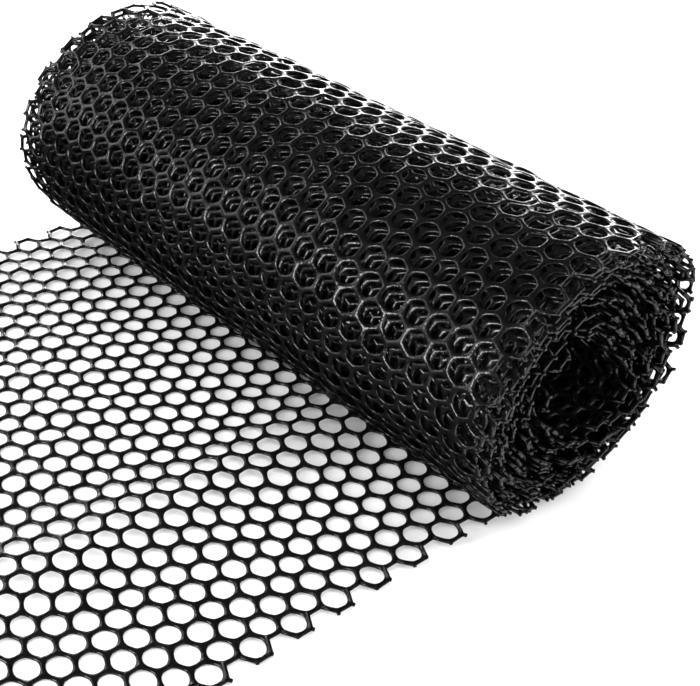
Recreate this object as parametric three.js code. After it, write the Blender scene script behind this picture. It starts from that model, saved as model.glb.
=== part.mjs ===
// Roll of balcony safety net: black hexagonal plastic netting, wound up, its free end unrolled on the floor.
// Millimetres, +Z up. X runs along the roll, +Y is behind it, and the loose end lies toward -Y.
// The origin is on the floor, on the flat spot that the roll rests on, below the roll's middle.

import * as THREE from 'three';
import { mergeVertices } from 'three/addons/utils/BufferGeometryUtils.js';

// The net. The real meshes are 15.7 wide and 11.8 from row to row; here they are not quite twice that.
const NET_WIDTH = 400;
const THICKNESS = 1.6;
const MESHES_IN_ROW = 13;
const ROW_TO_MESH = 0.753;
const MESH = NET_WIDTH / (MESHES_IN_ROW + 0.5);
const ROW = MESH * ROW_TO_MESH;
const STRAND = 4.4;
const STRAND_SHOULDER = 0.7;

// The roll: its outer turn is a flattened spiral that starts at the floor and goes up behind
const TURNS = 8;
const HALF_DEPTH = 82;
const HALF_HEIGHT = 78.9;
const CENTRE_Y = -1.2;
const SAG = 1.6;
const TURN_SHRINK = 0.073;
const CENTRE_Z = HALF_HEIGHT - SAG;

// The hollow in the middle is a soft three-cornered shape
const CORE_Y = 5;
const CORE_Z = 69;
const CORE_RADIUS = 28.5;
const CORE_LOBES = [
  { angle: 56, swell: 9, spread: 27 },
  { angle: 124, swell: -7, spread: 32 },
  { angle: 180, swell: 4, spread: 24 },
];

// The ends: the near end leans out at the top, the turns round the hollow end in one plane, and each
// turn's edge stands in and out of line
const NEAR_END = 195.6;
const LEAN_BACK = -5.5;
const LEAN_TOP = 11;
const CORE_NEAR_END = 190;
const CORE_PLANE_SHARE = 0.67;
const START_SHIFT = -9;
const START_FADE = 40;
const EDGE_STEP = 3.9;
const TURN_OFFSET = 2;
const GROOVE = 6;
const TURN_DRIFT = 2.5;
const DRIFT_WAVE = 2.4;
const RIDGE_PLACE = 0.45;

// How finely the roll is divided
const STEPS_IN_MESH_ROW = 3;
const MESH_ROWS_IN_TURN = 22;
const STEPS = STEPS_IN_MESH_ROW * MESH_ROWS_IN_TURN;
const START_STEPS = -1.5;
const COLUMNS = 2 * MESHES_IN_ROW + 1;
const CORE_SECTIONS = 4;
const DIMPLE = 3;
const FLOOR_CLEARANCE = 0.1;

// The loose end lies flat but for a low crease along it and two lifted edges
const LOOSE_ROWS = 13;
const GAP = 0.3;
const SHEET_NEAR_EDGE = 176;
const CREASES = [
  { x: 61, height: 2.8, halfWidth: 24, fadeFrom: -400, fadeOver: 100 },
  { x: 176, height: 2.2, halfWidth: 26, fadeFrom: -70, fadeOver: 150 },
  { x: -215, height: 1.2, halfWidth: 60, fadeFrom: -150, fadeOver: 150 },
];

const SAME_POINT = 1e-3;

const blackPlastic = new THREE.MeshStandardMaterial({ color: 0x0c0c0d, roughness: 0.35, metalness: 0 });

const radians = THREE.MathUtils.degToRad;
const bell = (distance, spread) => Math.exp(-((distance / spread) ** 2));

// Builds one closed mesh from triangles of points, sharing the points that coincide
function closedMesh(name, triangles) {
  const geometry = new THREE.BufferGeometry();
  const flat = triangles.flatMap((triangle) => triangle.flatMap((point) => point.toArray()));
  geometry.setAttribute('position', new THREE.Float32BufferAttribute(flat, 3));
  const merged = mergeVertices(geometry, SAME_POINT);
  merged.computeVertexNormals();
  const mesh = new THREE.Mesh(merged, blackPlastic);
  mesh.name = name;
  return mesh;
}

function addQuad(triangles, a, b, c, d) {
  triangles.push([a, b, c], [a, c, d]);
}

// Fills the strip between two chains of points, always taking the shorter next edge
function addStrip(triangles, left, right) {
  let i = 0;
  let j = 0;
  while (i < left.length - 1 || j < right.length - 1) {
    const leftIsNext = j === right.length - 1 || (i < left.length - 1
      && left[i + 1].distanceTo(right[j]) < right[j + 1].distanceTo(left[i]));
    if (leftIsNext) {
      triangles.push([left[i], right[j], left[i + 1]]);
      i += 1;
    } else {
      triangles.push([left[i], right[j], right[j + 1]]);
      j += 1;
    }
  }
}

// Degrees from the roll's lowest line, going up behind it, at a step along the winding
const angleAt = (step) => (360 * (step + START_STEPS)) / STEPS;

function coreRadius(angle) {
  let radius = CORE_RADIUS;
  for (const lobe of CORE_LOBES) {
    const away = THREE.MathUtils.euclideanModulo(angle - lobe.angle + 180, 360) - 180;
    radius += lobe.swell * bell(away, lobe.spread);
  }
  return radius;
}

// How far in a turn stands, from 0 at the outer turn to 1 round the hollow
const inwardShare = (step) => Math.max(0, step / STEPS - 1) / (TURNS - 0.5);

// Where the winding passes in the roll's cross-section: the outer turn's shape melts into the hollow's
function windingPoint(step) {
  const angle = angleAt(step);
  const inward = inwardShare(step);
  const shrink = 1 - TURN_SHRINK * Math.min(step / STEPS, 1);
  const sine = Math.sin(radians(angle));
  const cosine = Math.cos(radians(angle));
  const outerY = CENTRE_Y + HALF_DEPTH * shrink * sine;
  const outerZ = Math.max(0, CENTRE_Z - HALF_HEIGHT * shrink * cosine);
  const innerY = CORE_Y + coreRadius(angle) * sine;
  const innerZ = CORE_Z - coreRadius(angle) * cosine;
  return {
    y: THREE.MathUtils.lerp(outerY, innerY, inward),
    z: THREE.MathUtils.lerp(outerZ, innerZ, inward),
  };
}

// The edge of the net that faces +X, at a step along the winding
function nearEdge(step) {
  const angle = angleAt(step);
  const turn = step / STEPS;
  const outer = NEAR_END + LEAN_BACK * Math.sin(radians(angle)) - LEAN_TOP * Math.cos(radians(angle));
  const inward = THREE.MathUtils.smoothstep(inwardShare(step), 0, CORE_PLANE_SHARE);
  const start = START_SHIFT * Math.exp(-Math.max(0, angle) / START_FADE);
  const drift = TURN_DRIFT * Math.sin(DRIFT_WAVE * turn);
  return THREE.MathUtils.lerp(outer, CORE_NEAR_END, inward) + start + (turn > 1 ? drift : 0);
}

// Every second row of meshes stands out of the edge, out of line with the turn outside it
function edgeStep(step) {
  const row = Math.round((step + TURN_OFFSET * Math.floor(step / STEPS)) / STEPS_IN_MESH_ROW);
  return row % 2 === 0 ? EDGE_STEP : -EDGE_STEP;
}

// The two ends of a line along the roll, set back by depth
function endPoints(step, yz, depth) {
  const near = nearEdge(step);
  return {
    near: new THREE.Vector3(near + edgeStep(step) - depth, yz.y, yz.z),
    far: new THREE.Vector3(near + edgeStep(step) - NET_WIDTH + depth, yz.y, yz.z),
  };
}

function blend(a, b, share) {
  return { y: THREE.MathUtils.lerp(a.y, b.y, share), z: THREE.MathUtils.lerp(a.z, b.z, share) };
}

// Whether a point of the outer turn lies inside a mesh: each mesh holds three, along its middle column
function isInMesh(step, column) {
  const row = Math.round(step / STEPS_IN_MESH_ROW);
  const isMiddle = (column + row) % 2 === 1;
  return isMiddle && column > 0 && column < COLUMNS && step > 0 && step < STEPS;
}

// A line of points along the outer turn, set in as dimples where it crosses meshes clear of the floor
function surfaceLine(step) {
  const yz = windingPoint(step);
  const ends = endPoints(step, yz, 0);
  const isOnFloor = windingPoint(step - 1).z < FLOOR_CLEARANCE;
  const inward = new THREE.Vector2(CORE_Y - yz.y, CORE_Z - yz.z).setLength(DIMPLE);
  const line = [ends.near];
  for (let column = 1; column < COLUMNS; column += 1) {
    const point = new THREE.Vector3(nearEdge(step) - (column * MESH) / 2, yz.y, yz.z);
    if (isInMesh(step, column) && !isOnFloor) {
      point.add(new THREE.Vector3(0, inward.x, inward.y));
    }
    line.push(point);
  }
  line.push(ends.far);
  return line;
}

// Two triangles for each place along two lines; the fold between them joins points that aren't set in
function addSurfaceStrip(triangles, step) {
  const line = surfaceLine(step);
  const next = surfaceLine(step + 1);
  for (let column = 0; column < COLUMNS; column += 1) {
    const corners = [next[column], line[column], line[column + 1], next[column + 1]];
    const foldStartsInMesh = isInMesh(step + 1, column) || isInMesh(step, column + 1);
    addQuad(triangles, ...(foldStartsInMesh ? [...corners.slice(1), corners[0]] : corners));
  }
}

function coreLine(step) {
  const ends = endPoints(step, windingPoint(step), GROOVE);
  const line = [];
  for (let k = 0; k <= CORE_SECTIONS; k += 1) {
    line.push(ends.near.clone().lerp(ends.far, k / CORE_SECTIONS));
  }
  return line;
}

// The wound form: outer turn, two end faces that show the turns as a spiral ridge, hollow and lap steps
function makeRoll() {
  const triangles = [];
  const last = TURNS * STEPS;
  const rim = [];
  const ridge = [];
  for (let step = 0; step <= last + STEPS; step += 1) {
    rim.push(endPoints(step, windingPoint(step), step <= STEPS ? 0 : GROOVE));
  }
  for (let step = 0; step <= last; step += 1) {
    const between = blend(windingPoint(step), windingPoint(step + STEPS), RIDGE_PLACE);
    ridge.push(endPoints(step, between, 0));
  }
  for (let step = 0; step < last; step += 1) {
    const inner = step + STEPS;
    addQuad(triangles, rim[step].near, rim[step + 1].near, ridge[step + 1].near, ridge[step].near);
    addQuad(triangles, ridge[step].near, ridge[step + 1].near, rim[inner + 1].near, rim[inner].near);
    addQuad(triangles, rim[step].far, ridge[step].far, ridge[step + 1].far, rim[step + 1].far);
    addQuad(triangles, ridge[step].far, rim[inner].far, rim[inner + 1].far, ridge[step + 1].far);
  }
  for (let step = 0; step < STEPS; step += 1) {
    addSurfaceStrip(triangles, step);
    addStrip(triangles, coreLine(last + step), coreLine(last + step + 1));
  }
  // The lap: the outer turn's start on the floor, and the winding's end in the hollow
  const lapMiddle = [ridge[0].near, ridge[0].far];
  addStrip(triangles, surfaceLine(0), lapMiddle);
  addStrip(triangles, lapMiddle, surfaceLine(STEPS));
  const endMiddle = [ridge[last].near, ridge[last].far];
  addStrip(triangles, endMiddle, coreLine(last));
  addStrip(triangles, coreLine(last + STEPS), endMiddle);
  return closedMesh('net_roll', triangles);
}

// How far the loose end is lifted off the floor
function lift(x, y) {
  let height = 0;
  for (const crease of CREASES) {
    const fade = THREE.MathUtils.clamp(1 - (crease.fadeFrom - y) / crease.fadeOver, 0, 1);
    height += crease.height * bell(x - crease.x, crease.halfWidth) * fade;
  }
  return height;
}

// The six corners of a hexagon, going round from its +Y corner, drawn in by an inset from its sides
function hexagon(centreX, centreY, inset) {
  const shrink = 1 - (2 * inset) / MESH;
  const corners = [[0, 2], [-1.5, 1], [-1.5, -1], [0, -2], [1.5, -1], [1.5, 1]];
  return corners.map(([across, along]) => ({
    x: centreX + ((across / 3) * MESH * shrink),
    y: centreY + ((along / 3) * ROW * shrink),
  }));
}

// The loose end: a ring of strand halves round each mesh, and a cut wall where a strand has no neighbour
function makeLooseEnd() {
  const triangles = [];
  const edges = new Map();
  const point = ({ x, y }, z) => new THREE.Vector3(x, y, z + lift(x, y));
  const keyOf = (a, b) => [a, b].map((end) => `${end.x.toFixed(1)}:${end.y.toFixed(1)}`).join(' ');
  const backTips = CENTRE_Y + HALF_DEPTH * Math.sin(radians(angleAt(0))) - GAP;
  for (let row = 0; row < LOOSE_ROWS; row += 1) {
    const centreY = backTips - (row + 2 / 3) * ROW;
    const shift = row % 2 === 0 ? 0.5 : 1;
    for (let k = 0; k < MESHES_IN_ROW; k += 1) {
      const centreX = SHEET_NEAR_EDGE - (k + shift) * MESH;
      const outer = hexagon(centreX, centreY, 0);
      const hole = hexagon(centreX, centreY, STRAND / 2);
      for (let side = 0; side < outer.length; side += 1) {
        const next = (side + 1) % outer.length;
        const [a, b, c, d] = [outer[side], outer[next], hole[next], hole[side]];
        const rimTop = THICKNESS * STRAND_SHOULDER;
        addQuad(triangles, point(a, THICKNESS), point(b, THICKNESS), point(c, rimTop), point(d, rimTop));
        addQuad(triangles, point(d, 0), point(c, 0), point(b, 0), point(a, 0));
        addQuad(triangles, point(d, rimTop), point(c, rimTop), point(c, 0), point(d, 0));
        edges.set(keyOf(a, b), [a, b]);
      }
    }
  }
  for (const [a, b] of edges.values()) {
    if (!edges.has(keyOf(b, a))) {
      addQuad(triangles, point(a, THICKNESS), point(a, 0), point(b, 0), point(b, THICKNESS));
    }
  }
  return closedMesh('net_loose_end', triangles);
}

const net = new THREE.Group();
net.add(makeRoll());
net.add(makeLooseEnd());

export default net;
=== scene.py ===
"""Roll of balcony safety net: black hexagonal plastic netting, wound up, its free end unrolled on the floor.

Metres, +Z up. X runs along the roll, +Y is behind it, and the loose end lies toward -Y.
The net is laid out flat first, in u (across it, from its near edge), v (along it) and w (up through it),
and then bent: flat over the floor, under the roll, up behind it, and round and round inward.
"""

import math

import bpy
import numpy as np
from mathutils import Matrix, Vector


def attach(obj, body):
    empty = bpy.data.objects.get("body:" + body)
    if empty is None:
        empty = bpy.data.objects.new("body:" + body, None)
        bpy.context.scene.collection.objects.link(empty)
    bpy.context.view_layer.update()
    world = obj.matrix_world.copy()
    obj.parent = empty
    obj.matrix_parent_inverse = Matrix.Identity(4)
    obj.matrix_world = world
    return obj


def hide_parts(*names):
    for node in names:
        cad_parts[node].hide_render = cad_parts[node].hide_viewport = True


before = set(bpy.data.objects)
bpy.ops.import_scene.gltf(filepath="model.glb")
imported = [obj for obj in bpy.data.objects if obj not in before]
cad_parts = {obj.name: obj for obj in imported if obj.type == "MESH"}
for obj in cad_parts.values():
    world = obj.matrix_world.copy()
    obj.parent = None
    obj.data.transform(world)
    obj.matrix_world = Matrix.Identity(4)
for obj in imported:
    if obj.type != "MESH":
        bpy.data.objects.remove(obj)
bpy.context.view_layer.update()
SEED = 7

# The camera that the net's meshes on the floor were fitted to
CAMERA_PLACE = (0.5324, -0.4384, 0.4580)
CAMERA_AZIMUTH = 49.47
CAMERA_ELEVATION = 33.56
CAMERA_LENS = 71.66
CAMERA_NEAREST = 0.02
CAMERA_FURTHEST = 40

# The net: each second row of meshes stands half a mesh further in
NET_WIDTH = 0.400
MESHES_IN_ROW = 25
MESH = NET_WIDTH / (MESHES_IN_ROW + 0.5)
ROW_TO_MESH = 0.753
ROW = ROW_TO_MESH * MESH
SIDES = 6
THICKNESS = 0.0016
STRAND = 0.0023
HOLE_ROUNDNESS = 5
HOLE_UNEVEN = 0.02
JUNCTION_RISE = 0.15
JUNCTION_REACH = 0.0022

# Half of a strand's section, from its upper middle line round its side to its lower one: share of the half
# width, and share of the thickness. The roll shows the side that lies on the floor in the loose end.
SECTION_FULL = ((0, 1), (0.66, 0.95), (1, 0.52), (0.66, 0.05), (0, 0))
SECTION_OUTSIDE = ((0, 1), (0.7, 0.9), (1, 0.5), (0.84, 0.2), (0.45, 0.05), (0, 0))
SECTION_SECOND = ((0, 1), (1, 0.5), (0.6, 0.06), (0, 0))
SECTION_PLAIN = ((0, 1), (1, 0.45), (0, 0))

# The winding in the roll's cross-section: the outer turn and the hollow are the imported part's, and more
# turns lie between them, closer together outside
TURNS = 18
TIGHT_OUTSIDE = 0.5
HALF_DEPTH = 0.082
HALF_HEIGHT = 0.0789
CENTRE_Y = -0.0012
CENTRE_Z = 0.0773
TURN_SHRINK = 0.073
START_ANGLE = math.radians(-8.18)
CORE_Y = 0.005
CORE_Z = 0.069
CORE_RADIUS = 0.0285
CORE_LOBES = (  # angle, swell, spread
    (56, 0.009, 27),
    (124, -0.007, 32),
    (180, 0.004, 24),
)
WINDING_SAMPLES = 5000

# How closely the turns inside follow the outer one where it stands wide, how that fades from turn to turn,
# and over which share of a turn they come up to it
HUG = 1.05
HUG_FADE = 0.12
HUG_START = 0.12

# The near edge of the net: the roll's near end leans out at the top, and the turns inside stand back
NEAR_END = 0.1956
LEAN_BACK = -0.0055
LEAN_TOP = 0.011
START_SHIFT = -0.009
START_FADE = math.radians(40)
TURN_DRIFT = 0.0032
DRIFT_WAVE = 2.4
DRIFT_RISE = 0.25
CORE_NEAR_END = 0.190
CORE_PLANE_SHARE = 0.50
SHEET_NEAR_EDGE = 0.176

# The net is a little wider in the turns inside
WIDER_INSIDE = 0.013
WIDER_OVER_TURNS = 2.5

# The loose end, and the creases that lift it
FREE_ROW_Y = -0.3021
LOOSE_ROWS = 25
LOOSE_REACH = 0.06
LOOSE_FADE = 0.05
CREASES = (  # place across, height, half width, where along the net it fades, over which length
    (0.061, 0.0028, 0.024, -0.400, 0.100),
    (0.176, 0.0022, 0.026, -0.070, 0.150),
    (-0.215, 0.0012, 0.060, -0.150, 0.150),
)

# Slow, seeded unevenness
WAVES = {  # number of waves, shortest, longest
    "bulge": (14, 0.070, 0.260),
    "ripple": (16, 0.016, 0.045),
    "across": (14, 0.030, 0.120),
    "along": (14, 0.030, 0.120),
    "edge": (10, 0.050, 0.300),
    "hole": (16, 0.012, 0.040),
}
BULGE = 0.0005
BULGE_AT_ENDS = 2.0
END_REACH = 0.030
RIPPLE = 0.00030
STRETCH = 0.00035
STRETCH_SPREAD = 0.45
EDGE_DRIFT = 0.0012
EDGE_DRIFT_RISE = 1 / 3
FLOOR_RIPPLE = 0.0003

# Cut ends of strands, and the strands along the net's free edges
EDGE_OVERLAP = 0.0004
STUB_ROOT = 0.0006
STUB_SHORTEST = 0.0008
STUB_LONGEST = 0.0026
STUB_TIP_WIDTH = 0.8
BAR_SECTION = ((-0.5, 0.5), (-0.32, 0.94), (0.32, 0.94), (0.5, 0.5), (0.32, 0.06), (-0.32, 0.06))
BAR_END_QUADS = [(3, 2, 1, 0), (5, 4, 3, 0), (6, 7, 8, 9), (6, 9, 10, 11)]

# How finely each piece is divided: points round a mesh
LOOSE_POINTS = 30
OUTER_POINTS = 18
SECOND_POINTS = 18
INNER_POINTS = 12
COARSE_POINTS = 6
COARSE_FROM_TURN = 5
END_COLUMNS = 3

# Welding: u, v and w are counted in steps, and a point's three counts make one number with room for each
WELD_STEPS = 1e6
WELD_OFFSET = 2_000_000
WELD_ROOM_V = 8_000_000
WELD_ROOM_W = 10_000

# Extruded black plastic: its colours, and the scale and detail of the noise that makes its patches, its
# grain and its lumps
BLACK = (0.002, 0.002, 0.0022)
PALER_BLACK = (0.004, 0.004, 0.0042)
DUSTY_BLACK = (0.009, 0.009, 0.0095)
# Painted highlight: the paler black that the strand junctions are painted with, and how much of it they get,
# standing in for the light they catch
JUNCTION_SHEEN_BLACK = (0.006, 0.006, 0.0062)
JUNCTION_SHEEN_SHARE = 0.5
PATCHES = (35, 3)
GRAIN = (1400, 2)
LUMPS = (420, 2)
PATCH_RANGE = (0.35, 0.65)
DUST_RANGE = (0.52, 0.80)
SMOOTHEST = 0.10
ROUGHEST = 0.18
GRAIN_ROUGHNESS = 0.10
PLASTIC_IOR = 1.45
LUMP_BUMP = (0.5, 0.0006)  # strength, depth
GRAIN_BUMP = (0.25, 0.00004)

# The studio: a white floor, which the strands mirror only past the roll's near end, and soft low lights
FLOOR_SIZE = 12
FLOOR_COLOUR = (0.94, 0.94, 0.94, 1)
FLOOR_ROUGHNESS = 0.9
FLOOR_SPECULAR = 0.1
MIRRORED_FROM_X = 0.20
WORLD_GREY = 1.75
LIGHTS = (  # name, place, way it faces, width, height, brightness of its face
    ("back_wall", (-0.40, 1.70, 0.55), (0, -1, 0), 3.0, 1.10, 1.8),
    ("left_wall", (-1.80, 0.00, 0.55), (1, 0, 0), 3.4, 1.10, 1.6),
    ("right_wall", (1.90, 0.20, 0.50), (-1, 0, 0), 3.0, 1.00, 1.6),
    ("front_left_wall", (-0.60, -1.70, 0.55), (0, 1, 0), 2.4, 1.10, 0.6),
    ("back_strip", (-1.00, 1.50, 0.20), (0.5, -1, 0), 2.6, 0.42, 7.0),
    ("left_strip", (-1.70, 0.90, 0.20), (1, -0.3, 0), 1.4, 0.40, 6.0),
    ("front_left_light", (-0.21, -1.05, 0.29), (0.2, 1, -0.2), 0.45, 0.35, 16.0),
)


def bell(distance, spread):
    return np.exp(-((distance / spread) ** 2))


def smooth_step(x):
    x = np.clip(x, 0, 1)
    return x * x * (3 - 2 * x)


# Unevenness


def make_waves(rng, count, shortest, longest):
    """Plane waves in random directions: their wave numbers and phases."""
    lengths = np.exp(rng.uniform(math.log(shortest), math.log(longest), count))
    ways = rng.uniform(0, 2 * math.pi, count)
    numbers = 2 * math.pi / lengths
    return numbers * np.cos(ways), numbers * np.sin(ways), rng.uniform(0, 2 * math.pi, count)


def make_unevenness():
    rng = np.random.default_rng(SEED)
    return {name: make_waves(rng, *waves) for name, waves in WAVES.items()}


UNEVEN = make_unevenness()


def uneven(name, u, v):
    """The sum of the waves of this name at (u, v), with a variance of about 1."""
    waves = UNEVEN[name]
    total = np.zeros_like(u)
    for across, along, phase in zip(*waves):
        total += np.sin(across * u + along * v + phase)
    return total / math.sqrt(len(waves[0]) / 2)


# The winding's path


def turn_of(angle):
    """Turns since the winding's start, from 0 where the net leaves the floor."""
    return (angle - START_ANGLE) / (2 * math.pi)


def core_radius(angle):
    radius = np.full_like(angle, CORE_RADIUS)
    for lobe, swell, spread in CORE_LOBES:
        away = (np.degrees(angle) - lobe + 180) % 360 - 180
        radius += swell * bell(away, spread)
    return radius


def share_inward(turn):
    """How far in a turn stands, from 0 at the outer turn to 1 round the hollow."""
    share = np.maximum(0, turn - 1) / (TURNS - 1)
    return share * (TIGHT_OUTSIDE + (1 - TIGHT_OUTSIDE) * share)


def hug(turn):
    """How much of the outer turn's wide first stretch a turn inside follows."""
    start = turn % 1
    follows = np.maximum(0, HUG - HUG_FADE * turn)
    return np.where(turn > 1, (1 - start) * smooth_step(start / HUG_START) * follows, 0)


def make_winding():
    """The path's length, angle, place and inward normal at even samples of its angle."""
    angle = START_ANGLE + np.linspace(0, 2 * math.pi * TURNS, WINDING_SAMPLES)
    turn = turn_of(angle)
    inward = share_inward(turn)
    shrink = 1 - TURN_SHRINK * (np.minimum(turn, 1) - hug(turn))
    outer_y = CENTRE_Y + HALF_DEPTH * shrink * np.sin(angle)
    outer_z = np.maximum(0, CENTRE_Z - HALF_HEIGHT * shrink * np.cos(angle))
    y = outer_y + (CORE_Y + core_radius(angle) * np.sin(angle) - outer_y) * inward
    z = outer_z + (CORE_Z - core_radius(angle) * np.cos(angle) - outer_z) * inward
    steps = np.hypot(np.diff(y), np.diff(z))
    length = np.concatenate(([0], np.cumsum(steps)))
    slope_y = np.gradient(y, length)
    slope_z = np.gradient(z, length)
    size = np.hypot(slope_y, slope_z)
    return {
        "length": length,
        "angle": angle,
        "y": y,
        "z": z,
        "normal_y": -slope_z / size,
        "normal_z": slope_y / size,
    }


WINDING = make_winding()
WINDING_START = WINDING["y"][0]
ROWS = int((WINDING_START + WINDING["length"][-1] - FREE_ROW_Y) / ROW)


def on_winding(v, name):
    return np.interp(v - WINDING_START, WINDING["length"], WINDING[name])


def lift(x, y):
    """How far the loose end is lifted off the floor by its creases."""
    height = np.zeros_like(x)
    for crease_x, crease_height, half_width, fade_from, fade_over in CREASES:
        fade = np.clip(1 - (fade_from - y) / fade_over, 0, 1)
        height += crease_height * bell(x - crease_x, half_width) * fade
    return height


def near_edge(v):
    """Where the net's near edge stands, at a place along the net."""
    angle = on_winding(v, "angle")
    turn = turn_of(angle)
    inward = np.minimum(1, share_inward(turn) / CORE_PLANE_SHARE)
    outer = NEAR_END + LEAN_BACK * np.sin(angle) - LEAN_TOP * np.cos(angle)
    start = START_SHIFT * np.exp(-np.maximum(0, angle) / START_FADE)
    drift = TURN_DRIFT * np.sin(DRIFT_WAVE * turn) * smooth_step((turn - 1) / DRIFT_RISE)
    wobble = EDGE_DRIFT * uneven("edge", np.zeros_like(v), v) * smooth_step(turn / EDGE_DRIFT_RISE)
    wound = outer + (CORE_NEAR_END - outer) * inward + start + drift + wobble
    return np.where(v < WINDING_START, SHEET_NEAR_EDGE, wound)


def widening(v):
    """How much wider the net is in the turns inside than in the outer turn, which was pulled narrower."""
    turn = turn_of(on_winding(v, "angle"))
    return 1 + WIDER_INSIDE * np.clip((turn - 1) / WIDER_OVER_TURNS, 0, 1)


def place(flat):
    """Bends points of the flat net, in u, v and w, to where the net lies and winds."""
    u, v, w = flat.T
    loose = smooth_step((WINDING_START + LOOSE_REACH - v) / LOOSE_FADE)
    u_moved = u + STRETCH * uneven("across", u, v) * bell(u / NET_WIDTH - 0.5, STRETCH_SPREAD)
    v_moved = v + STRETCH * uneven("along", u, v)
    from_end = np.minimum(u, NET_WIDTH - u)
    bulge = BULGE * (1 + BULGE_AT_ENDS * bell(from_end, END_REACH)) * uneven("bulge", u, v)
    ripple = uneven("ripple", u, v)
    rolled_height = (1 - loose) * (bulge + RIPPLE * ripple)
    loose_height = loose * FLOOR_RIPPLE * np.maximum(0, 1 + ripple)
    height = w + rolled_height + loose_height
    x = near_edge(v) - u_moved * widening(v)
    is_flat = v < WINDING_START
    y = np.where(is_flat, v_moved, on_winding(v_moved, "y"))
    z = np.where(is_flat, lift(x, v_moved), on_winding(v_moved, "z"))
    normal_y = np.where(is_flat, 0, on_winding(v_moved, "normal_y"))
    normal_z = np.where(is_flat, 1, on_winding(v_moved, "normal_z"))
    return np.column_stack((x, y + normal_y * height, np.maximum(0, z + normal_z * height)))


# The flat net


def mesh_centres(rows):
    """The meshes' middles in the flat net, (row, column, 2)."""
    row = np.arange(rows.start, rows.stop)[:, None]
    column = np.arange(MESHES_IN_ROW)[None, :]
    u = (column + np.where(row % 2 == 0, 0.5, 1.0)) * MESH
    v = FREE_ROW_Y + row * ROW + 0 * u
    return np.stack((u, v), axis=-1)


def hexagon_corners():
    """A mesh's corners from its middle, going round from the one that points along the net."""
    half = MESH / 2
    third = ROW / 3
    return np.array(
        [(0, 2 * third), (-half, third), (-half, -third), (0, -2 * third), (half, -third), (half, third)]
    )


def round_mesh(points):
    """Points on the strands' middle lines round a mesh, and the hole's edge beside each, from its middle."""
    corners = hexagon_corners()
    after = np.roll(corners, -1, axis=0)
    per_side = points // SIDES
    share = np.arange(per_side)[None, :, None] / per_side
    line = (corners[:, None] * (1 - share) + after[:, None] * share).reshape(-1, 2)
    sides = after - corners
    normals = np.column_stack((-sides[:, 1], sides[:, 0]))[:3]
    normals /= np.linalg.norm(normals, axis=1)[:, None]
    apart = np.abs(np.sum(normals * corners[:3], axis=1)) - STRAND / 2
    reach = np.abs(line @ normals.T) / apart
    size = np.sum(reach**HOLE_ROUNDNESS, axis=1) ** (1 / HOLE_ROUNDNESS)
    return line, line / size[:, None]


def junction_share(line):
    """1 at a junction of strands, falling to 0 along them."""
    away = np.linalg.norm(line[:, None] - hexagon_corners()[None], axis=2).min(axis=1)
    return bell(away, JUNCTION_REACH)


def mesh_template(points, section):
    """One mesh's rings of points from its middle, (ring, point, 3), and how near a junction each point is."""
    line, hole = round_mesh(points)
    junction = junction_share(line)
    rings = []
    for across, up in section:
        ring = line + (hole - line) * across
        rise = THICKNESS * up * (1 + JUNCTION_RISE * junction * (1 - across))
        rings.append(np.column_stack((ring, rise)))
    return np.array(rings), np.tile(junction, (len(section), 1))


def ring_quads(rings, points):
    """The faces between the rings of one mesh, as numbers of its points."""
    ring, point = np.meshgrid(np.arange(rings - 1), np.arange(points), indexing="ij")
    after = (point + 1) % points
    a = ring * points + point
    b = ring * points + after
    return np.stack((a, a + points, b + points, b), axis=-1).reshape(-1, 4)


def tile(centres, points, section):
    """The meshes at these centres, not yet joined: points in u, v, w, their junction share, and quads."""
    template, junction = mesh_template(points, section)
    count = len(centres)
    flat = np.tile(template.reshape(1, -1, 3), (count, 1, 1))
    size = HOLE_UNEVEN * uneven("hole", centres[:, 0], centres[:, 1])
    across = np.repeat([share for share, _ in section], points)
    flat[:, :, :2] *= 1 + size[:, None, None] * across[None, :, None]
    flat[:, :, :2] += centres[:, None, :]
    starts = np.arange(count) * len(section) * points
    quads = ring_quads(len(section), points)[None] + starts[:, None, None]
    return flat.reshape(-1, 3), np.tile(junction.ravel(), count), quads.reshape(-1, 4)


def tile_groups(rows, points, groups):
    """Tiles each group of columns of these rows with its own section."""
    centres = mesh_centres(rows)
    flat_parts = []
    junction_parts = []
    quad_parts = []
    offset = 0
    for columns, section in groups:
        flat, junction, quads = tile(centres[:, columns].reshape(-1, 2), points, section)
        flat_parts.append(flat)
        junction_parts.append(junction)
        quad_parts.append(quads + offset)
        offset += len(flat)
    return np.concatenate(flat_parts), np.concatenate(junction_parts), np.concatenate(quad_parts)


def free_sides(rows):
    """For each mesh of these rows and each of its sides, whether no mesh lies beyond that side."""
    free = np.zeros((len(rows), MESHES_IN_ROW, SIDES), bool)
    even = np.array([row % 2 == 0 for row in rows])
    near = 0
    far = MESHES_IN_ROW - 1
    free[:, near, 1] = True
    free[:, far, 4] = True
    free[even, near, 0] = True
    free[even, near, 2] = True
    free[~even, far, 3] = True
    free[~even, far, 5] = True
    free[0, :, 2:4] = True
    free[-1, :, 0] = True
    free[-1, :, 5] = True
    return free


def cut_walls(rows, points):
    """Quads that close the strands' halves where no mesh lies beyond, with points of their own to weld."""
    line, _ = round_mesh(points)
    rise = JUNCTION_RISE * junction_share(line)
    top = np.column_stack((line, THICKNESS * (1 + rise)))
    bottom = np.column_stack((line, np.zeros(points)))
    centres = mesh_centres(rows).reshape(-1, 2)
    flat = np.tile(np.stack((top, bottom))[None], (len(centres), 1, 1, 1))
    flat[..., :2] += centres[:, None, None, :]

    mesh_index, side = np.nonzero(free_sides(rows).reshape(-1, SIDES))
    per_side = points // SIDES
    start = side[:, None] * per_side + np.arange(per_side)[None, :]
    after = (start + 1) % points
    upper = (mesh_index * points * 2)[:, None]
    lower = upper + points
    quads = np.stack((lower + start, lower + after, upper + after, upper + start), axis=-1)
    return flat.reshape(-1, 3), quads.reshape(-1, 4)


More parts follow.
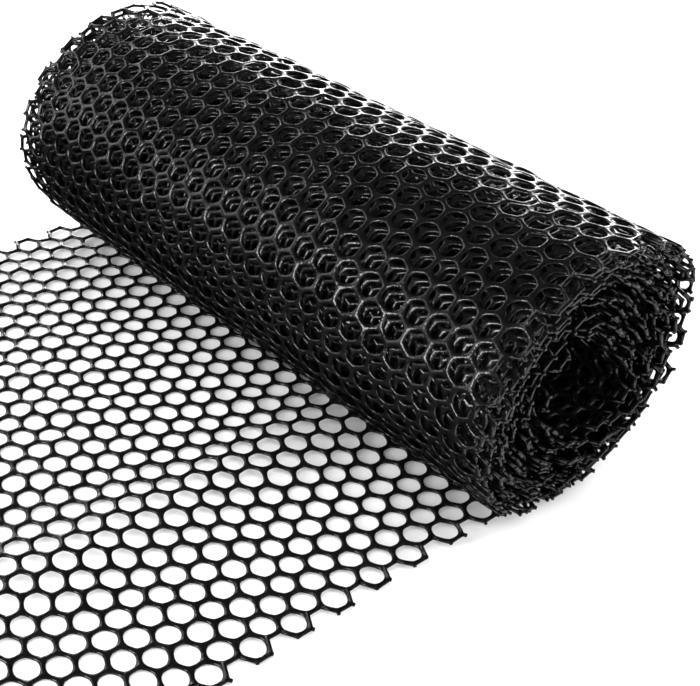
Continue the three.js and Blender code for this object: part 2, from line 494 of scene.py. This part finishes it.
def weld(flat, junction, quads, walls):
    """Joins the points that neighbouring meshes share, and drops those that no face uses."""
    whole = np.round(flat * WELD_STEPS).astype(np.int64) + WELD_OFFSET
    key = (whole[:, 0] * WELD_ROOM_V + whole[:, 1]) * WELD_ROOM_W + whole[:, 2]
    _, first, joined = np.unique(key, return_index=True, return_inverse=True)
    quads = joined[quads]
    walls = joined[walls]
    used = np.unique(np.concatenate((quads.ravel(), walls.ravel())))
    renumber = np.zeros(len(first), np.int64)
    renumber[used] = np.arange(len(used))
    return flat[first][used], junction[first][used], renumber[quads], renumber[walls]


# The net's free edges, and the cut ends of strands that stick out of them


def stub_roots(rows):
    """Where strands were cut in these rows: roots and directions in the flat net."""
    slant = np.array((MESH / 2, ROW / 3))
    slant = slant / np.linalg.norm(slant)
    roots = []
    ways = []
    for row in rows:
        v = FREE_ROW_Y + row * ROW
        side = -1 if row % 2 == 0 else 1
        u = 0 if row % 2 == 0 else NET_WIDTH
        for along in (-1, 1):
            roots.append((u, v + along * ROW / 3))
            ways.append((side * slant[0], along * slant[1]))
    for row, along in ((0, -1), (ROWS - 1, 1)):
        if row in rows:
            for u, v in mesh_centres(range(row, row + 1))[0]:
                roots.append((u, v + along * 2 * ROW / 3))
                ways.append((0, along))
    return np.array(roots), np.array(ways)


def edge_lines(rows):
    """The middle lines of the strands that no mesh lies beyond: both ends of each in the flat net."""
    mesh_index, side = np.nonzero(free_sides(rows).reshape(-1, SIDES))
    centres = mesh_centres(rows).reshape(-1, 2)[mesh_index]
    corners = hexagon_corners()
    starts = centres + corners[side]
    ends = centres + corners[(side + 1) % SIDES]
    ways = (ends - starts) / np.linalg.norm(ends - starts, axis=1)[:, None]
    return starts - ways * EDGE_OVERLAP, ends + ways * EDGE_OVERLAP


def make_bars(starts, ends, tip_width):
    """Straight bits of strand between these places: points in u, v, w, and quads."""
    count = len(starts)
    ways = (ends - starts) / np.linalg.norm(ends - starts, axis=1)[:, None]
    sideways = np.column_stack((-ways[:, 1], ways[:, 0]))
    sides = len(BAR_SECTION)
    flat = np.zeros((count, 2, sides, 3))
    for end, (middle, width) in enumerate(((starts, 1), (ends, tip_width))):
        for k, (across, up) in enumerate(BAR_SECTION):
            flat[:, end, k, :2] = middle + sideways * across * width * STRAND
            flat[:, end, k, 2] = THICKNESS * up
    quads = [(k, (k + 1) % sides, sides + (k + 1) % sides, sides + k) for k in range(sides)]
    quads += BAR_END_QUADS
    numbers = np.array(quads)[None] + (np.arange(count) * 2 * sides)[:, None, None]
    return flat.reshape(-1, 3), numbers.reshape(-1, 4)


def make_edge(rows, rng):
    """The strands along the net's free edges, and the cut ends that stick out of them."""
    roots, ways = stub_roots(rows)
    lengths = rng.uniform(STUB_SHORTEST, STUB_LONGEST, len(roots))
    tips = roots + ways * lengths[:, None]
    stub_flat, stub_quads = make_bars(roots - ways * STUB_ROOT, tips, STUB_TIP_WIDTH)
    edge_flat, edge_quads = make_bars(*edge_lines(rows), 1)
    flat = np.concatenate((stub_flat, edge_flat))
    return flat, np.concatenate((stub_quads, edge_quads + len(stub_flat)))


# Pieces


def add_mesh(name, points, quads, is_flat, junction):
    mesh = bpy.data.meshes.new(name)
    mesh.vertices.add(len(points))
    mesh.vertices.foreach_set("co", points.astype(np.float32).ravel())
    mesh.loops.add(quads.size)
    mesh.loops.foreach_set("vertex_index", quads.astype(np.int32).ravel())
    mesh.polygons.add(len(quads))
    mesh.polygons.foreach_set("loop_start", np.arange(0, quads.size, 4, dtype=np.int32))
    mesh.update(calc_edges=True)
    sharp = mesh.attributes.new("sharp_face", "BOOLEAN", "FACE")
    sharp.data.foreach_set("value", is_flat)
    nearness = mesh.attributes.new("junction", "FLOAT", "POINT")
    nearness.data.foreach_set("value", junction.astype(np.float32))
    piece = bpy.data.objects.new(name, mesh)
    bpy.context.scene.collection.objects.link(piece)
    return piece


def net_piece(name, rows, points, groups, material, rng):
    """One stretch of net as a closed mesh, with the strands of its free edges and its cut strand ends."""
    flat, junction, quads = tile_groups(rows, points, groups)
    wall_flat, walls = cut_walls(rows, points)
    walls += len(flat)
    flat = np.concatenate((flat, wall_flat))
    junction = np.concatenate((junction, np.zeros(len(wall_flat))))
    flat, junction, quads, walls = weld(flat, junction, quads, walls)
    edge_flat, edge_quads = make_edge(rows, rng)
    all_quads = np.concatenate((quads, walls, edge_quads + len(flat)))
    is_flat = np.zeros(len(all_quads), bool)
    is_flat[len(quads) : len(quads) + len(walls)] = True
    junction = np.concatenate((junction, np.zeros(len(edge_flat))))
    piece = add_mesh(name, place(np.concatenate((flat, edge_flat))), all_quads, is_flat, junction)
    piece.data.materials.append(material)
    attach(piece, "root")
    return piece


# Materials

# The colour sockets of a mix node
MIX_SHARE = 0
MIX_FIRST = 6
MIX_SECOND = 7
MIX_RESULT = 2


def add_node(tree, kind, **settings):
    node = tree.nodes.new(kind)
    for name, value in settings.items():
        setattr(node, name, value)
    return node


def noise_node(tree, place_socket, scale, detail):
    noise = add_node(tree, "ShaderNodeTexNoise")
    noise.inputs["Scale"].default_value = scale
    noise.inputs["Detail"].default_value = detail
    tree.links.new(place_socket, noise.inputs["Vector"])
    return noise.outputs["Fac"]


def range_node(tree, socket, low, high, to_low, to_high):
    node = add_node(tree, "ShaderNodeMapRange")
    for name, value in (("From Min", low), ("From Max", high), ("To Min", to_low), ("To Max", to_high)):
        node.inputs[name].default_value = value
    tree.links.new(socket, node.inputs["Value"])
    return node.outputs["Result"]


def mix_colours(tree, share, first, second):
    mix = add_node(tree, "ShaderNodeMix", data_type="RGBA")
    for socket, value in ((mix.inputs[MIX_FIRST], first), (mix.inputs[MIX_SECOND], second)):
        if isinstance(value, tuple):
            socket.default_value = (*value, 1)
        else:
            tree.links.new(value, socket)
    tree.links.new(share, mix.inputs[MIX_SHARE])
    return mix.outputs[MIX_RESULT]


def bump_node(tree, height, strength_and_depth):
    bump = add_node(tree, "ShaderNodeBump")
    bump.inputs["Strength"].default_value = strength_and_depth[0]
    bump.inputs["Distance"].default_value = strength_and_depth[1]
    tree.links.new(height, bump.inputs["Height"])
    return bump


def make_black_net():
    """Extruded black plastic with a soft sheen: paler in random patches, dusty in its grain, and with a
    painted highlight at the strand junctions, which are painted a paler black where they catch light.
    """
    material = bpy.data.materials.new("black_net")
    material.use_nodes = True
    tree = material.node_tree
    shader = tree.nodes["Principled BSDF"]
    shader.inputs["IOR"].default_value = PLASTIC_IOR
    where = add_node(tree, "ShaderNodeTexCoord").outputs["Object"]
    junction = add_node(tree, "ShaderNodeAttribute", attribute_name="junction").outputs["Fac"]

    patches = noise_node(tree, where, *PATCHES)
    grain = noise_node(tree, where, *GRAIN)
    dust = range_node(tree, grain, *DUST_RANGE, 0, 1)
    paler = range_node(tree, patches, *PATCH_RANGE, 0, 1)
    black = mix_colours(tree, paler, BLACK, PALER_BLACK)
    dusty = mix_colours(tree, dust, black, DUSTY_BLACK)
    # Painted highlight: the strand junctions are painted paler, as if they caught light
    junction_sheen = mix_colours(tree, range_node(tree, junction, 0, 1, 0, JUNCTION_SHEEN_SHARE), dusty, JUNCTION_SHEEN_BLACK)
    tree.links.new(junction_sheen, shader.inputs["Base Color"])

    dull = add_node(tree, "ShaderNodeMath", operation="MULTIPLY_ADD")
    tree.links.new(grain, dull.inputs[0])
    dull.inputs[1].default_value = GRAIN_ROUGHNESS
    tree.links.new(range_node(tree, patches, *PATCH_RANGE, SMOOTHEST, ROUGHEST), dull.inputs[2])
    tree.links.new(dull.outputs[0], shader.inputs["Roughness"])

    lumps = noise_node(tree, where, *LUMPS)
    low_bump = bump_node(tree, lumps, LUMP_BUMP)
    fine_bump = bump_node(tree, grain, GRAIN_BUMP)
    tree.links.new(low_bump.outputs["Normal"], fine_bump.inputs["Normal"])
    tree.links.new(fine_bump.outputs["Normal"], shader.inputs["Normal"])
    return material


def make_floor_material():
    material = bpy.data.materials.new("pale_floor")
    material.use_nodes = True
    shader = material.node_tree.nodes["Principled BSDF"]
    shader.inputs["Base Color"].default_value = FLOOR_COLOUR
    shader.inputs["Roughness"].default_value = FLOOR_ROUGHNESS
    shader.inputs["Specular IOR Level"].default_value = FLOOR_SPECULAR
    return material


# Studio


def add_camera():
    data = bpy.data.cameras.new("camera")
    data.lens = CAMERA_LENS
    data.clip_start = CAMERA_NEAREST
    data.clip_end = CAMERA_FURTHEST
    camera = bpy.data.objects.new("camera", data)
    bpy.context.scene.collection.objects.link(camera)
    azimuth = math.radians(CAMERA_AZIMUTH)
    elevation = math.radians(CAMERA_ELEVATION)
    back = Vector(
        (
            math.sin(azimuth) * math.cos(elevation),
            -math.cos(azimuth) * math.cos(elevation),
            math.sin(elevation),
        )
    )
    camera.location = CAMERA_PLACE
    camera.rotation_euler = (-back).to_track_quat("-Z", "Y").to_euler()
    bpy.context.scene.camera = camera


def add_floor_part(name, left, right, is_mirrored, material):
    half = FLOOR_SIZE / 2
    corners = [(left, -half, 0), (right, -half, 0), (right, half, 0), (left, half, 0)]
    mesh = bpy.data.meshes.new(name)
    mesh.from_pydata(corners, [], [(0, 1, 2, 3)])
    floor = bpy.data.objects.new(name, mesh)
    floor.data.materials.append(material)
    floor.visible_glossy = is_mirrored
    bpy.context.scene.collection.objects.link(floor)


def add_floor():
    material = make_floor_material()
    half = FLOOR_SIZE / 2
    add_floor_part("floor", -half, MIRRORED_FROM_X, False, material)
    add_floor_part("floor_right", MIRRORED_FROM_X, half, True, material)


def add_lights():
    for name, where, way, width, height, brightness in LIGHTS:
        data = bpy.data.lights.new(name, "AREA")
        data.shape = "RECTANGLE"
        data.size = width
        data.size_y = height
        data.energy = brightness * math.pi * width * height
        light = bpy.data.objects.new(name, data)
        light.location = where
        light.rotation_euler = Vector(way).to_track_quat("-Z", "Y").to_euler()
        light.visible_camera = False
        bpy.context.scene.collection.objects.link(light)
    world = bpy.data.worlds.new("studio")
    world.use_nodes = True
    background = world.node_tree.nodes["Background"]
    background.inputs["Color"].default_value = (WORLD_GREY, WORLD_GREY, WORLD_GREY, 1)
    world.cycles_visibility.glossy = False
    bpy.context.scene.world = world
    bpy.context.scene.view_settings.view_transform = "Standard"


# The whole net


def rows_of_turn(turn):
    """The rows whose middles lie in a turn of the roll, counted from 0 at the outside."""
    row = np.arange(ROWS)
    turns = turn_of(on_winding(FREE_ROW_Y + row * ROW, "angle"))
    in_turn = np.minimum(turns.astype(int), TURNS - 1) == turn
    rows = np.nonzero((row >= LOOSE_ROWS) & in_turn)[0]
    return range(int(rows[0]), int(rows[-1]) + 1)


def turn_detail(turn):
    """How finely a turn is made: points round a mesh, and columns of meshes with their strands' section."""
    every = slice(0, MESHES_IN_ROW)
    if turn == 0:
        return OUTER_POINTS, [(every, SECTION_OUTSIDE)]
    if turn == 1:
        return SECOND_POINTS, [(every, SECTION_SECOND)]
    far_columns = MESHES_IN_ROW - END_COLUMNS
    groups = [
        (slice(0, END_COLUMNS), SECTION_SECOND),
        (slice(END_COLUMNS, far_columns), SECTION_PLAIN),
        (slice(far_columns, MESHES_IN_ROW), SECTION_SECOND),
    ]
    return INNER_POINTS if turn < COARSE_FROM_TURN else COARSE_POINTS, groups


def make_loose_end(material, rng):
    groups = [(slice(0, MESHES_IN_ROW), SECTION_FULL)]
    loose = net_piece("net_loose_end_cloth", range(LOOSE_ROWS), LOOSE_POINTS, groups, material, rng)
    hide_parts("net_loose_end")


def make_roll(material, rng):
    for turn in range(TURNS):
        points, groups = turn_detail(turn)
        piece = net_piece(f"net_turn_{turn + 1}", rows_of_turn(turn), points, groups, material, rng)
        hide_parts("net_roll")


def make_net():
    material = make_black_net()
    rng = np.random.default_rng(SEED)
    make_loose_end(material, rng)
    make_roll(material, rng)


add_camera()
make_net()
add_floor()
add_lights()
bpy.context.view_layer.update()
